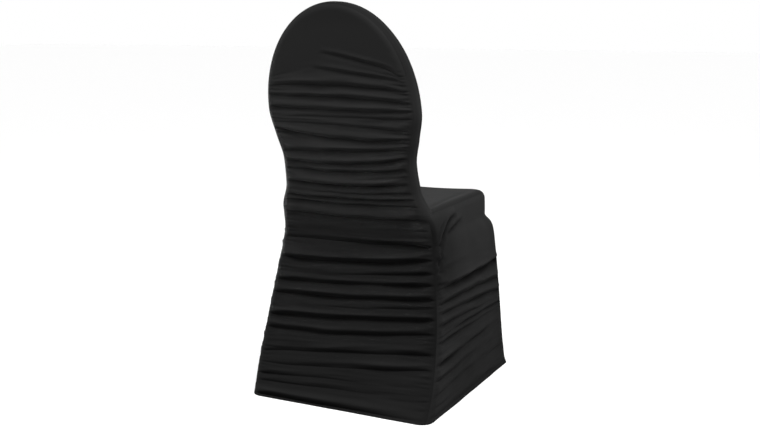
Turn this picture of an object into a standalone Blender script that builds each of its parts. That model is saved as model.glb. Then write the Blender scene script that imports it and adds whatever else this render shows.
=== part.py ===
# Fitted banquet chair cover in black stretch cloth, standing hollow in the shape it is stretched to.
# The chair faces -Y, +X is the sitter's left, and the hem stands on z = 0.
import math
from collections import namedtuple

import bmesh
import bpy
from mathutils import Vector

for old in list(bpy.data.objects):
    bpy.data.objects.remove(old, do_unlink=True)

# Cloth and seams
CLOTH = 0.002
SEAM_GAP = 0.0008
SEAM_TURN = math.radians(45)

# Shift that centres the footprint on the origin
CENTRED = Vector((0, 0.002, 0))

# Backrest: a domed slab that leans back, its edge rounded all the way round
BACK_DEPTH = 0.0535
BACK_EDGE = 0.020
DOME_FOOT = 0.700
DOME_HALF = 0.192
DOME_RISE = 0.243
DOME_CORNER = math.radians(42)
INSIDE_SWELL = 0.006
SWELL_ROUND = 0.8

# Seat: the height of the seam along its edge, the edge's rounding and the middle's dip
SEAT_EDGE = 0.020
SEAT_SEAM = 0.465
SEAT_WALL_TOP = SEAT_SEAM - SEAT_EDGE * math.sin(SEAM_TURN)
SEAT_DIP = 0.006
SEAT_START = 0.10
SEAT_TURNED = 0.30

# Cells and rows of the surfaces
QUARTER = math.pi / 2
FACE_CELLS = 8
DOME_ROWS = 6
DOME_EASE = 0.35
DOME_FADE_ROWS = 2
INSIDE_ROWS = 27
INSIDE_BUNCH = 1.15
SEAT_ROWS = 5
SIDE_TOP_ROWS = 9
SIDE_TOP_FADE = 4
BAND_CELLS = 3
HALVINGS = 30
SIDE_SHARES = (0.10, 0.26, 0.48, 0.72)
REAR_TURNS = tuple(math.radians(a) for a in (45, 67.5, 90))
CORNER_TURNS = tuple(math.radians(a) for a in (0, 18, 35, 45))
SEAT_TILTS = tuple(math.radians(a) for a in (90, 60, 30, 0))
NOTCH_LEVELS = (0.438, 0.425, 0.414, 0.407, 0.401, 0.395, 0.388, 0.378)
SKIRT_LEVELS = NOTCH_LEVELS + (0.360, 0.330, 0.250, 0.170, 0.090, 0.020, 0.0)

# Back of the cover by height: half its width, how far back it stands, its corners' rounding
BackSection = namedtuple("BackSection", "height half rear corner")
BACK_SECTIONS = (
    BackSection(0.000, 0.2400, 0.2550, 0.030),
    BackSection(0.060, 0.2420, 0.2300, 0.027),
    BackSection(0.200, 0.2330, 0.1860, 0.025),
    BackSection(0.300, 0.2200, 0.1650, 0.025),
    BackSection(0.400, 0.2050, 0.1510, 0.024),
    BackSection(0.440, 0.2010, 0.1600, 0.023),
    BackSection(0.465, 0.1940, 0.1735, 0.022),
    BackSection(0.520, 0.1725, 0.1905, 0.020),
    BackSection(0.580, 0.1685, 0.2060, 0.020),
    BackSection(0.640, 0.1810, 0.2195, 0.020),
    BackSection(0.700, 0.1920, 0.2315, 0.020),
    BackSection(0.780, 0.1920, 0.2445, 0.020),
    BackSection(0.960, 0.1920, 0.2715, 0.020),
)

# Front of the skirt and seat by height, up to where the seat's edge turns over
FrontSection = namedtuple("FrontSection", "height half front corner")
FRONT_SECTIONS = (
    FrontSection(0.000, 0.2385, -0.2700, 0.012),
    FrontSection(0.020, 0.2335, -0.2675, 0.014),
    FrontSection(0.200, 0.2185, -0.2655, 0.022),
    FrontSection(0.350, 0.2065, -0.2580, 0.027),
    FrontSection(0.375, 0.2040, -0.2555, 0.032),
    FrontSection(0.390, 0.2005, -0.2520, 0.040),
    FrontSection(0.400, 0.1960, -0.2475, 0.050),
    FrontSection(0.408, 0.1935, -0.2450, 0.058),
    FrontSection(0.422, 0.1940, -0.2450, 0.060),
    FrontSection(0.451, 0.1935, -0.2440, 0.060),
)

# Gathered folds across the back, from the hem up: the valley's height at the sitter's left
# seam, in the middle and at the right seam, and its depth there
BackFold = namedtuple("BackFold", "left middle right deep_left deep_middle deep_right")
BACK_FOLDS = (
    BackFold(0.0080, 0.0110, 0.0120, 0.0030, 0.0024, 0.0006),
    BackFold(0.0350, 0.0440, 0.0520, 0.0026, 0.0014, 0.0004),
    BackFold(0.0520, 0.0640, 0.0740, 0.0040, 0.0005, 0.0000),
    BackFold(0.0780, 0.0905, 0.1150, 0.0010, 0.0030, 0.0045),
    BackFold(0.1080, 0.1300, 0.1500, 0.0030, 0.0040, 0.0040),
    BackFold(0.1630, 0.1710, 0.1950, 0.0040, 0.0040, 0.0040),
    BackFold(0.1950, 0.2070, 0.2260, 0.0065, 0.0065, 0.0065),
    BackFold(0.2240, 0.2320, 0.2510, 0.0000, 0.0004, 0.0030),
    BackFold(0.2480, 0.2540, 0.2720, 0.0065, 0.0065, 0.0055),
    BackFold(0.2790, 0.2870, 0.3040, 0.0040, 0.0040, 0.0045),
    BackFold(0.3060, 0.3110, 0.3300, 0.0010, 0.0014, 0.0040),
    BackFold(0.3350, 0.3380, 0.3590, 0.0065, 0.0065, 0.0065),
    BackFold(0.3840, 0.3860, 0.3910, 0.0020, 0.0018, 0.0062),
    BackFold(0.4490, 0.4440, 0.4520, 0.0040, 0.0050, 0.0045),
    BackFold(0.4820, 0.4790, 0.4880, 0.0035, 0.0035, 0.0030),
    BackFold(0.4960, 0.4915, 0.5030, 0.0035, 0.0035, 0.0035),
    BackFold(0.5120, 0.5070, 0.5180, 0.0005, 0.0015, 0.0035),
    BackFold(0.5310, 0.5240, 0.5360, 0.0055, 0.0060, 0.0055),
    BackFold(0.5660, 0.5580, 0.5730, 0.0035, 0.0045, 0.0040),
    BackFold(0.5800, 0.5770, 0.5970, 0.0035, 0.0040, 0.0045),
    BackFold(0.6040, 0.6080, 0.6180, 0.0035, 0.0040, 0.0035),
    BackFold(0.6550, 0.6360, 0.6410, 0.0045, 0.0045, 0.0040),
    BackFold(0.6730, 0.6690, 0.6610, 0.0010, 0.0018, 0.0032),
    BackFold(0.6890, 0.6870, 0.6900, 0.0010, 0.0020, 0.0035),
    BackFold(0.7100, 0.7025, 0.7080, 0.0040, 0.0040, 0.0030),
    BackFold(0.7290, 0.7335, 0.7290, 0.0035, 0.0045, 0.0035),
    BackFold(0.7560, 0.7620, 0.7500, 0.0035, 0.0040, 0.0040),
    BackFold(0.7790, 0.7960, 0.7680, 0.0000, 0.0018, 0.0040),
    BackFold(0.8000, 0.8290, 0.7850, 0.0000, 0.0014, 0.0040),
)

# Folds along a side, from the hem up: height at the rear seam, half way and at the front seam
SideFold = namedtuple("SideFold", "rear middle front deep_rear deep_middle deep_front")
SIDE_FOLDS = (
    SideFold(0.0110, 0.0110, 0.0110, 0.0010, 0.0020, 0.0015),
    SideFold(0.0540, 0.0580, 0.0560, 0.0020, 0.0010, 0.0000),
    SideFold(0.0900, 0.0960, 0.0980, 0.0035, 0.0010, 0.0000),
    SideFold(0.1270, 0.1290, 0.1270, 0.0045, 0.0025, 0.0005),
    SideFold(0.1680, 0.1640, 0.1560, 0.0040, 0.0020, 0.0010),
    SideFold(0.1830, 0.1770, 0.1680, 0.0005, 0.0035, 0.0025),
    SideFold(0.2120, 0.2000, 0.1880, 0.0045, 0.0020, 0.0010),
    SideFold(0.2370, 0.2240, 0.2060, 0.0030, 0.0045, 0.0025),
    SideFold(0.2530, 0.2450, 0.2320, 0.0035, 0.0045, 0.0035),
    SideFold(0.2880, 0.2940, 0.2820, 0.0050, 0.0065, 0.0045),
    SideFold(0.3150, 0.4020, 0.3830, 0.0020, 0.0012, 0.0000),
    SideFold(0.3380, 0.4240, 0.4050, 0.0050, 0.0024, 0.0000),
)

# How a fold's wall falls to its valley, and the stations between two valleys
VALLEY_REACH = 0.012
VALLEY_CURVE = 1.8
SHOULDER = 0.0045
SHOULDER_SHARE = 0.25
STEEPEST = 0.38
EVEN_OUT = 1.25
EDGE_FOLD = 0.7
WIDE_PLEAT = 0.040
NARROW_PLEAT = 0.012

# How the right side's folds differ from the left's: a shift in metres and its two rhythms
RIGHT_SWAY = 0.004
SWAY_RHYTHM = 1.7
DEPTH_RHYTHM = 2.9
DEPTH_SWAY = 30


def along(table, column, height):
    # A table's column at a height, smooth and without overshoot
    levels = [row.height for row in table]
    values = [getattr(row, column) for row in table]
    count = len(levels)
    rise = [(values[i + 1] - values[i]) / (levels[i + 1] - levels[i]) for i in range(count - 1)]
    tangent = [rise[0]]
    for i in range(1, count - 1):
        same = rise[i - 1] * rise[i] > 0
        tangent.append(2 * rise[i - 1] * rise[i] / (rise[i - 1] + rise[i]) if same else 0.0)
    tangent.append(rise[-1])
    k = min(max(sum(level < height for level in levels) - 1, 0), count - 2)
    span = levels[k + 1] - levels[k]
    t = (height - levels[k]) / span
    return (values[k] * (1 + 2 * t) * (1 - t) ** 2 + values[k + 1] * t * t * (3 - 2 * t)
            + span * tangent[k] * t * (1 - t) ** 2 + span * tangent[k + 1] * t * t * (t - 1))


def ease(t):
    t = min(max(t, 0.0), 1.0)
    return t * t * (3 - 2 * t)


def rear_at(height):
    return along(BACK_SECTIONS, "rear", height)


def dome_inset(angle):
    # The edge of the flat face at an angle round the dome, and the outline's normal there
    across = math.cos(angle) / DOME_HALF
    up = math.sin(angle) / DOME_RISE
    length = math.hypot(across, up)
    normal = (across / length, up / length)
    x = DOME_HALF * math.cos(angle) - BACK_EDGE * normal[0]
    z = DOME_FOOT + DOME_RISE * math.sin(angle) - BACK_EDGE * normal[1]
    return x, z, normal


def face_edge(height):
    # Half width of the flat face at a height, the outline's normal and the rounding
    corner = along(BACK_SECTIONS, "corner", height)
    if height <= DOME_FOOT:
        return along(BACK_SECTIONS, "half", height) - corner, (1.0, 0.0), corner
    low, high = 0.0, math.pi / 2
    for _ in range(HALVINGS):
        angle = (low + high) / 2
        if dome_inset(angle)[1] < height:
            low = angle
        else:
            high = angle
    x, _, normal = dome_inset(low)
    return x, normal, corner


def quadratic(first, middle, last, share):
    # share runs from 1 at first to -1 at last
    return middle + (first - last) / 2 * share + ((first + last) / 2 - middle) * share * share


# Columns across the face: places along the dome's top edge give both the share and the drop
TOP_TURNS = [DOME_CORNER + (math.pi - 2 * DOME_CORNER) * i / FACE_CELLS for i in range(FACE_CELLS + 1)]
CORNER_X, CORNER_Z, _ = dome_inset(DOME_CORNER)
TOP_Z = dome_inset(math.pi / 2)[1]
TOP_EDGE = [dome_inset(turn) for turn in TOP_TURNS]
SHARES = [edge[0] / CORNER_X for edge in TOP_EDGE]
DROPS = [(TOP_Z - edge[1]) / (TOP_Z - CORNER_Z) for edge in TOP_EDGE]

Row = namedtuple("Row", "left middle right sink_left sink_middle sink_right")


def fold_rows(folds, reach=VALLEY_REACH):
    # Rows of stations from the hem over every valley, with the sink at each
    first = Row(0.0, 0.0, 0.0, 0.0, 0.0, 0.0)
    rows = [first]
    for k, fold in enumerate(folds):
        before = Row(*folds[k - 1]) if k else first
        here = Row(*fold)
        gap = min(here.left - before.left, here.middle - before.middle, here.right - before.right)
        gap_middle = here.middle - before.middle
        shoulder = min(SHOULDER, SHOULDER_SHARE * gap)
        stations = [shoulder, gap_middle / 2, gap_middle - shoulder]
        if gap < NARROW_PLEAT:
            stations = [gap_middle / 2]
        if gap_middle > WIDE_PLEAT:
            stations = [shoulder, reach, gap_middle / 2, gap_middle - reach, gap_middle - shoulder]
        for place in stations:
            share = place / gap_middle
            line = [a + (b - a) * share for a, b in zip(before[:3], here[:3])]
            sinks = []
            for side in range(3):
                width = min(reach, (here[side] - before[side]) / 2)
                fall = max(0.0, 1 - share * (here[side] - before[side]) / width) ** VALLEY_CURVE
                climb = max(0.0, 1 - (1 - share) * (here[side] - before[side]) / width) ** VALLEY_CURVE
                sinks.append(before[3 + side] * fall + here[3 + side] * climb)
            rows.append(Row(*line, *sinks))
        limit = STEEPEST * gap
        rows.append(Row(*here[:3], *[min(deep, limit) for deep in here[3:]]))
    return rows


def unit(x, y, z):
    return Vector((x, y, z)).normalized()


class Sheet:
    # Outer surface of a panel, its faces, and the rim directions shared with its neighbours
    def __init__(self):
        self.points = []
        self.faces = []
        self.rims = {}

    def add(self, point):
        self.points.append(Vector(point))
        return len(self.points) - 1

    def strips(self, lines):
        for low, high in zip(lines, lines[1:]):
            for i in range(len(low) - 1):
                self.faces.append((low[i], low[i + 1], high[i + 1], high[i]))

    def seam(self, corner, inner, normal):
        # Draw a seam's edge back by half the gap and fix its rim direction
        self.pull(corner, inner)
        self.rims[corner] = normal

    def pull(self, corner, inner):
        away = (self.points[inner] - self.points[corner]).normalized()
        self.points[corner] += away * (SEAM_GAP / 2)


def cloth(sheet, name, color, roughness):
    # Give the surface its cloth thickness inward and close its rims
    flat = bmesh.new()
    verts = [flat.verts.new(point + CENTRED) for point in sheet.points]
    for face in sheet.faces:
        flat.faces.new([verts[i] for i in face])
    bmesh.ops.recalc_face_normals(flat, faces=flat.faces[:])
    flat.normal_update()
    agree = sum(verts[i].normal.dot(normal) for i, normal in sheet.rims.items())
    if agree < 0:
        bmesh.ops.reverse_faces(flat, faces=flat.faces[:])
        flat.normal_update()
    inner = []
    for i, vert in enumerate(verts):
        if i in sheet.rims:
            inner.append(vert.co - sheet.rims[i] * CLOTH)
        else:
            inner.append(vert.co - vert.normal * (CLOTH * min(vert.calc_shell_factor(), EVEN_OUT)))
    rim_edges = [(e.verts[0], e.verts[1]) for e in flat.edges if e.is_boundary]
    outer_faces = flat.faces[:]
    flat.verts.index_update()
    inside = [flat.verts.new(point) for point in inner]
    for face in outer_faces:
        flat.faces.new([inside[v.index] for v in reversed(face.verts)])
    for a, b in rim_edges:
        flat.faces.new((a, b, inside[b.index], inside[a.index]))
    bmesh.ops.recalc_face_normals(flat, faces=flat.faces[:])
    mesh = bpy.data.meshes.new(name)
    flat.to_mesh(mesh)
    flat.free()
    piece = bpy.data.objects.new(name, mesh)
    bpy.context.scene.collection.objects.link(piece)
    finish = bpy.data.materials.new(name)
    finish.use_nodes = True
    principled = finish.node_tree.nodes["Principled BSDF"]
    principled.inputs["Base Color"].default_value = color
    principled.inputs["Roughness"].default_value = roughness
    principled.inputs["Metallic"].default_value = 0.0
    mesh.materials.append(finish)
    return piece


def face_grid(sheet, rows, place):
    # The flat face's grid, row by row, and its border: up one side, over the top, down the other
    lines = []
    for row in rows:
        edge_left = face_edge(row.left)[0]
        edge_right = face_edge(row.right)[0]
        line = []
        for share, drop in zip(SHARES, DROPS):
            z = row.middle + (row.left - row.right) / 2 * share
            z += ((row.left + row.right) / 2 - row.middle) * drop
            x = share * (edge_left * (1 + share) + edge_right * (1 - share)) / 2
            sink = quadratic(row.sink_left, row.sink_middle, row.sink_right, share)
            line.append(sheet.add(place(x, z, max(sink, 0.0))))
        lines.append(line)
    sheet.strips(lines)
    border = []
    for row, line in zip(rows[:-1], lines[:-1]):
        border.append((line[0], row.left, face_edge(row.left)[1], 1, row.sink_left))
    for (x, z, normal), index in zip(TOP_EDGE, lines[-1]):
        border.append((index, z, (abs(normal[0]), normal[1]), 1 if x >= 0 else -1, 0.0))
    for row, line in zip(reversed(rows[:-1]), reversed(lines[:-1])):
        border.append((line[-1], row.right, face_edge(row.right)[1], -1, row.sink_right))
    return lines, border


Station = namedtuple("Station", "turn fold back")


def rear_station(turn, fold=0.0):
    # A place round the rear edge's rounding
    return Station(turn, fold, lambda corner: corner * (1 - math.cos(turn)))


def inside_station(turn):
    # A place round the inside edge's rounding
    return Station(turn, 0.0, lambda corner: BACK_DEPTH - corner * (1 - math.cos(turn)))


def border_rings(sheet, border, stations):
    # Rings round the border, each drawn out and back as its station says
    rings = [[entry[0] for entry in border]]
    for station in stations:
        ring = []
        for index, z, normal, side, sink in border:
            corner = along(BACK_SECTIONS, "corner", min(z, DOME_FOOT))
            base_x = abs(sheet.points[index].x) if z > DOME_FOOT else face_edge(z)[0]
            out = corner * math.sin(station.turn)
            height = z + out * normal[1]
            y = rear_at(height) - station.back(corner) - sink * station.fold
            ring.append(sheet.add((side * (base_x + out * normal[0]), y, height)))
        rings.append(ring)
    sheet.strips(rings)
    return rings


def rear_seam(sheet, rings, border):
    # The seam runs half way round the rear edge
    for inner, corner, (_, _, normal, side, _) in zip(rings[-2], rings[-1], border):
        sine = math.sin(SEAM_TURN)
        sheet.seam(corner, inner, unit(side * normal[0] * sine, math.cos(SEAM_TURN), normal[1] * sine))


def back_panel():
    # Ruched panel from the hem to the dome, seamed half way round the edge's rounding
    sheet = Sheet()
    rows = fold_rows(BACK_FOLDS)
    last = rows[-1]
    for i in range(1, DOME_ROWS + 1):
        share = i / DOME_ROWS
        rise = DOME_EASE * ease(share) + (1 - DOME_EASE) * share
        left = last.left + (CORNER_Z - last.left) * rise
        right = last.right + (CORNER_Z - last.right) * rise
        middle = last.middle + (TOP_Z - last.middle) * rise
        fade = max(0.0, 1 - i / DOME_FADE_ROWS) ** 2
        rows.append(Row(left, middle, right, *[deep * fade for deep in last[3:]]))

    def place(x, z, sink):
        return x, rear_at(z) - sink, z

    lines, border = face_grid(sheet, rows, place)
    rings = border_rings(sheet, border, [rear_station(SEAM_TURN / 2, EDGE_FOLD), rear_station(SEAM_TURN)])
    rear_seam(sheet, rings, border)
    for index in lines[0]:
        sheet.rims[index] = Vector((0, 1, 0))
    for end, side in ((0, 1), (-1, -1)):
        turn = SEAM_TURN / 2
        sheet.rims[rings[1][end]] = unit(side * math.sin(turn), math.cos(turn), 0)
    return sheet


def seam_turned(share):
    # The rim's tilt along the top of a side: upright under the backrest, turned over at the seat
    return SEAM_TURN * ease((share - SEAT_START) / (SEAT_TURNED - SEAT_START))


def corner_tilt(turn):
    # The seam's tilt as it runs round the seat's front corner and down
    return SEAM_TURN * math.sqrt(max(0.0, 1 - (turn / SEAM_TURN) ** 2))


SEAT_HALF = along(FRONT_SECTIONS, "half", SEAT_WALL_TOP)
SEAT_FRONT = along(FRONT_SECTIONS, "front", SEAT_WALL_TOP)
SEAT_CORNER = along(FRONT_SECTIONS, "corner", SEAT_WALL_TOP)
SEAM_INSET = SEAT_EDGE * (1 - math.cos(SEAM_TURN))
BAND_HALF = along(BACK_SECTIONS, "half", SEAT_SEAM)
BAND_CORNER = along(BACK_SECTIONS, "corner", SEAT_SEAM)
SEAT_BACK_Y = rear_at(SEAT_SEAM) - BACK_DEPTH + BAND_CORNER
SIDE_BACK_Y = rear_at(SEAT_SEAM) - BAND_CORNER
SIDE_FRONT_Y = SEAT_FRONT + SEAT_CORNER


def seat_dip(x):
    # How far the stretched top sags towards the middle
    return SEAT_DIP * max(0.0, 1 - (x / (SEAT_HALF - SEAT_EDGE)) ** 2)


def seat_height(x, y):
    # The seat's surface: rounded down to the seam at its edges, flat inside them but for the dip
    share = min(max((SEAT_BACK_Y - y) / (SEAT_BACK_Y - SIDE_FRONT_Y), 0.0), 1.0)
    seam_x = BAND_HALF + (SEAT_HALF - SEAM_INSET - BAND_HALF) * share
    side = seam_x + SEAM_INSET - abs(x)
    front = y - SEAT_FRONT
    inset = min(side, front)
    if side < SEAT_CORNER and front < SEAT_CORNER:
        inset = SEAT_CORNER - math.hypot(SEAT_CORNER - side, SEAT_CORNER - front)
    inset = max(inset, 0.0)
    rise = SEAT_EDGE
    if inset < SEAT_EDGE:
        rise = math.sqrt(SEAT_EDGE ** 2 - (SEAT_EDGE - inset) ** 2)
    return SEAT_WALL_TOP + rise - seat_dip(x)


def side_start(height):
    # Where a side leaves the rounded rear corner
    return rear_at(height) - along(BACK_SECTIONS, "corner", height)


def side_point(kind, value, z, sink):
    # A point of the sitter's left side at a place round it: rear corner, flat side or front corner
    over = min(max(0.0, z - SEAT_WALL_TOP), SEAT_EDGE * math.sin(SEAM_TURN)) / SEAT_EDGE
    inset = SEAT_EDGE * (1 - math.sqrt(1 - over * over))
    corner = along(BACK_SECTIONS, "corner", z)
    half = along(BACK_SECTIONS, "half", z)
    low = min(z, SEAT_WALL_TOP)
    front_corner = along(FRONT_SECTIONS, "corner", low)
    front_half = along(FRONT_SECTIONS, "half", low)
    front_start = along(FRONT_SECTIONS, "front", low) + front_corner
    if kind == "rear":
        reach = corner - sink * math.sin(value - SEAM_TURN)
        return half - corner + reach * math.sin(value), side_start(z) + reach * math.cos(value), z
    if kind == "front":
        reach = front_corner - inset - sink * (1 - value / SEAM_TURN)
        return front_half - front_corner + reach * math.cos(value), front_start - reach * math.sin(value), z
    inset *= seam_turned(value) / SEAM_TURN
    x = half + (front_half - inset - half) * value - sink
    return x, side_start(z) + (front_start - side_start(z)) * value, z


def side_panel(side, sway):
    # Ruched side from the rear seam to the front seam; sway sets one side's folds off the other's
    sheet = Sheet()
    folds = [SIDE_FOLDS[0]]
    for k, fold in enumerate(SIDE_FOLDS[1:], 1):
        shift = sway * math.sin(SWAY_RHYTHM * k)
        factor = 1 + DEPTH_SWAY * sway * math.sin(DEPTH_RHYTHM * k)
        folds.append(SideFold(*[height + shift for height in fold[:3]], *[deep * factor for deep in fold[3:]]))
    rows = fold_rows(folds)
    last = rows[-1]
    columns = [("rear", turn) for turn in REAR_TURNS]
    columns += [("side", share) for share in SIDE_SHARES]
    columns += [("front", turn) for turn in CORNER_TURNS]
    lines = []
    for j in range(len(rows) + SIDE_TOP_ROWS):
        row = rows[min(j, len(rows) - 1)]
        rise = max(0, j - len(rows) + 1) / SIDE_TOP_ROWS
        line = []
        for kind, value in columns:
            place = {"rear": 1.0, "front": -1.0}.get(kind, 1 - 2 * value)
            top = SEAT_SEAM
            if kind == "front":
                top = SEAT_WALL_TOP + SEAT_EDGE * math.sin(corner_tilt(value))
            z = quadratic(row.left, row.middle, row.right, place)
            z += (top - z) * rise
            sink = max(0.0, quadratic(row.sink_left, row.sink_middle, row.sink_right, place))
            sink *= max(0.0, 1 - SIDE_TOP_FADE * rise) ** 2
            x, y, z = side_point(kind, value, z, sink)
            line.append(sheet.add((side * x, y, z)))
        lines.append(line)
    sheet.strips(lines)
    bisector = math.cos(SEAM_TURN)
    for line in lines:
        sheet.seam(line[0], line[1], unit(side * bisector, bisector, 0))
        sheet.seam(line[-1], line[-2], unit(side * bisector, -bisector, 0))
    for (kind, value), hem, top, under in zip(columns, lines[0], lines[-1], lines[-2]):
        level = Vector((side, 0, 0))
        tilt = seam_turned(value if kind == "side" else 0.0)
        if kind == "rear":
            level = unit(side * math.sin(value), math.cos(value), 0)
        if kind == "front":
            level = unit(side * math.cos(value), -math.sin(value), 0)
            tilt = corner_tilt(value)
        sheet.rims[hem] = level
        sheet.seam(top, under, level * math.cos(tilt) + Vector((0, 0, math.sin(tilt))))
    return sheet


def rest_on_seat(point):
    # Slide a point of the backrest down or up its slope to the seat's surface
    behind = rear_at(point.z) - point.y
    point.z = seat_height(point.x, point.y)
    point.y = rear_at(point.z) - behind


def inside_back(sheet):
    # Inside face and band of the backrest, from the seat's crease to the rear seam
    seat_top = SEAT_WALL_TOP + SEAT_EDGE
    rows = []
    for i in range(INSIDE_ROWS + 1):
        t = i / INSIDE_ROWS
        ends = seat_top + (CORNER_Z - seat_top) * t
        middle = max(seat_top + (TOP_Z - seat_top) * t ** INSIDE_BUNCH, ends)
        rows.append(Row(ends, middle, ends, 0.0, 0.0, 0.0))

    def place(x, z, sink):
        up = min(max((z - seat_top) / (TOP_Z - seat_top), 0.0), 1.0)
        across = min(abs(x) / (DOME_HALF - BACK_EDGE), 1.0)
        swell = INSIDE_SWELL * math.sin(math.pi * up) ** SWELL_ROUND * (1 - across ** 2)
        return x, rear_at(z) - BACK_DEPTH - swell, z

    lines, border = face_grid(sheet, rows, place)
    stations = [inside_station(QUARTER * (i + 1) / BAND_CELLS) for i in range(BAND_CELLS)]
    stations += [rear_station(turn) for turn in reversed(REAR_TURNS)]
    rings = border_rings(sheet, border, stations)
    rear_seam(sheet, rings, border)

    # The lowest row follows the seat, and the band ends on the seam at the top of the sides
    for index in lines[0][1:-1]:
        rest_on_seat(sheet.points[index])
    z = SEAT_SEAM + SEAM_GAP / 2
    for end, side in ((0, 1), (-1, -1)):
        for ring in rings[:BAND_CELLS]:
            rest_on_seat(sheet.points[ring[end]])
        for station, ring in zip(stations[BAND_CELLS - 1:], rings[BAND_CELLS:]):
            x = BAND_HALF - BAND_CORNER + BAND_CORNER * math.sin(station.turn)
            sheet.points[ring[end]] = Vector((side * x, rear_at(z) - station.back(BAND_CORNER), z))
            sheet.rims[ring[end]] = unit(side * math.sin(station.turn), math.cos(station.turn), 0)
        sheet.pull(rings[-1][end], rings[-2][end])
    left = [rings[n][0] for n in range(BAND_CELLS, 0, -1)]
    right = [rings[n][-1] for n in range(1, BAND_CELLS + 1)]
    return left + lines[0] + right


def front_columns():
    # Columns across the seat and skirt: side, share of the rounded corner, share of the straight front
    corner_shares = [1 - i / BAND_CELLS for i in range(BAND_CELLS)]
    straight = [1 - 2 * i / FACE_CELLS for i in range(FACE_CELLS + 1)]
    columns = [(1, share, 1.0) for share in corner_shares]
    columns += [(1 if place >= 0 else -1, 0.0, abs(place)) for place in straight]
    return columns + [(-1, share, 1.0) for share in reversed(corner_shares)]


def seat_edge_point(column, tilt, end_turn):
    # A point where the seat turns down, on the straight front or round a corner
    side, share, place = column
    turn = QUARTER + (end_turn - QUARTER) * share
    lean = tilt + (corner_tilt(end_turn) - tilt) * share
    reach = SEAT_CORNER - SEAT_EDGE * (1 - math.cos(lean))
    x = (SEAT_HALF - SEAT_CORNER) * place + reach * math.cos(turn)
    y = SEAT_FRONT + SEAT_CORNER - reach * math.sin(turn)
    return side * x, y, SEAT_WALL_TOP + SEAT_EDGE * math.sin(lean) - seat_dip(x)


def skirt_point(column, z):
    side, share, place = column
    half = along(FRONT_SECTIONS, "half", z)
    corner = along(FRONT_SECTIONS, "corner", z)
    turn = QUARTER - (QUARTER - SEAM_TURN) * share
    x = (half - corner) * place + corner * math.cos(turn)
    return side * x, along(FRONT_SECTIONS, "front", z) + corner - corner * math.sin(turn), z


def front_panel():
    # Plain length: band and inside of the back, seat, and front of the skirt
    sheet = Sheet()
    crease = inside_back(sheet)
    columns = front_columns()
    turned = []
    for tilt, end_turn in zip(SEAT_TILTS, CORNER_TURNS):
        turned.append([sheet.add(seat_edge_point(column, tilt, end_turn)) for column in columns])
    lines = [crease]
    for j in range(1, SEAT_ROWS):
        line = []
        for start, finish in zip(crease, turned[0]):
            x, y, _ = sheet.points[start].lerp(sheet.points[finish], j / SEAT_ROWS)
            line.append(sheet.add((x, y, seat_height(x, y))))
        lines.append(line)
    lines += turned
    for z in SKIRT_LEVELS:
        lines.append([sheet.add(skirt_point(column, z)) for column in columns])
    sheet.strips(lines)

    # Rims along the seat's seam, round its corner and down to the hem
    for j, line in enumerate(lines):
        for corner, inner, side in ((line[0], line[1], 1), (line[-1], line[-2], -1)):
            turn = 0.0
            tilt = seam_turned((sheet.points[corner].y - SIDE_BACK_Y) / (SIDE_FRONT_Y - SIDE_BACK_Y))
            if j > SEAT_ROWS:
                turn = CORNER_TURNS[min(j - SEAT_ROWS, len(CORNER_TURNS) - 1)]
                tilt = corner_tilt(turn)
            level = unit(side * math.cos(turn), -math.sin(turn), 0)
            if j:
                sheet.pull(corner, inner)
            sheet.rims[corner] = level * math.cos(tilt) + Vector((0, 0, math.sin(tilt)))
    for (side, share, _), index in zip(columns, lines[-1]):
        turn = QUARTER - (QUARTER - SEAM_TURN) * share
        sheet.rims[index] = unit(side * math.cos(turn), -math.sin(turn), 0)
    return sheet


BACK_BLACK = (0.0080, 0.0080, 0.0090, 1.0)
FRONT_BLACK = (0.0095, 0.0095, 0.0105, 1.0)
LEFT_BLACK = (0.0085, 0.0085, 0.0095, 1.0)
RIGHT_BLACK = (0.0088, 0.0088, 0.0098, 1.0)

cloth(back_panel(), "back_panel", BACK_BLACK, 0.75)
cloth(front_panel(), "front_panel", FRONT_BLACK, 0.70)
cloth(side_panel(1, 0.0), "side_panel_left", LEFT_BLACK, 0.72)
cloth(side_panel(-1, RIGHT_SWAY), "side_panel_right", RIGHT_BLACK, 0.73)
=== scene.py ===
# Fitted cover in black stretch knit for a round-top banquet chair, seen from behind
# Lengths are in metres. The front faces -Y, +X is the sitter's left, and the hem is at z = 0.
import math
import random
from collections import namedtuple

import bmesh
import bpy
import numpy as np
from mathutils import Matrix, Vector, noise


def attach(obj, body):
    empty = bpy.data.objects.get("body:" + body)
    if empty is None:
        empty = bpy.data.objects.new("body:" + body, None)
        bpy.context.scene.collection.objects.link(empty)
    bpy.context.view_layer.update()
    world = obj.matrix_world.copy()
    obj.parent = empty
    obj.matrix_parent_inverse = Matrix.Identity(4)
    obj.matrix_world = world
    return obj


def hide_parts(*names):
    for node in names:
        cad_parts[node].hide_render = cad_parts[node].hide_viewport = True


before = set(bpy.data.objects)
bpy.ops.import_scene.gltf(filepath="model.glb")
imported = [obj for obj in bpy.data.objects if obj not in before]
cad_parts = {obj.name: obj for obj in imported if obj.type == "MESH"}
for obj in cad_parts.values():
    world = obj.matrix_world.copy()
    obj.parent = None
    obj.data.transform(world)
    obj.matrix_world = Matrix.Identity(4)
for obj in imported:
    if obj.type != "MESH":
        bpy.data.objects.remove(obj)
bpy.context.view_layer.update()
for item in bpy.context.selected_objects:
    item.select_set(False)
print("frame loaded:", sorted(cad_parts))

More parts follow.
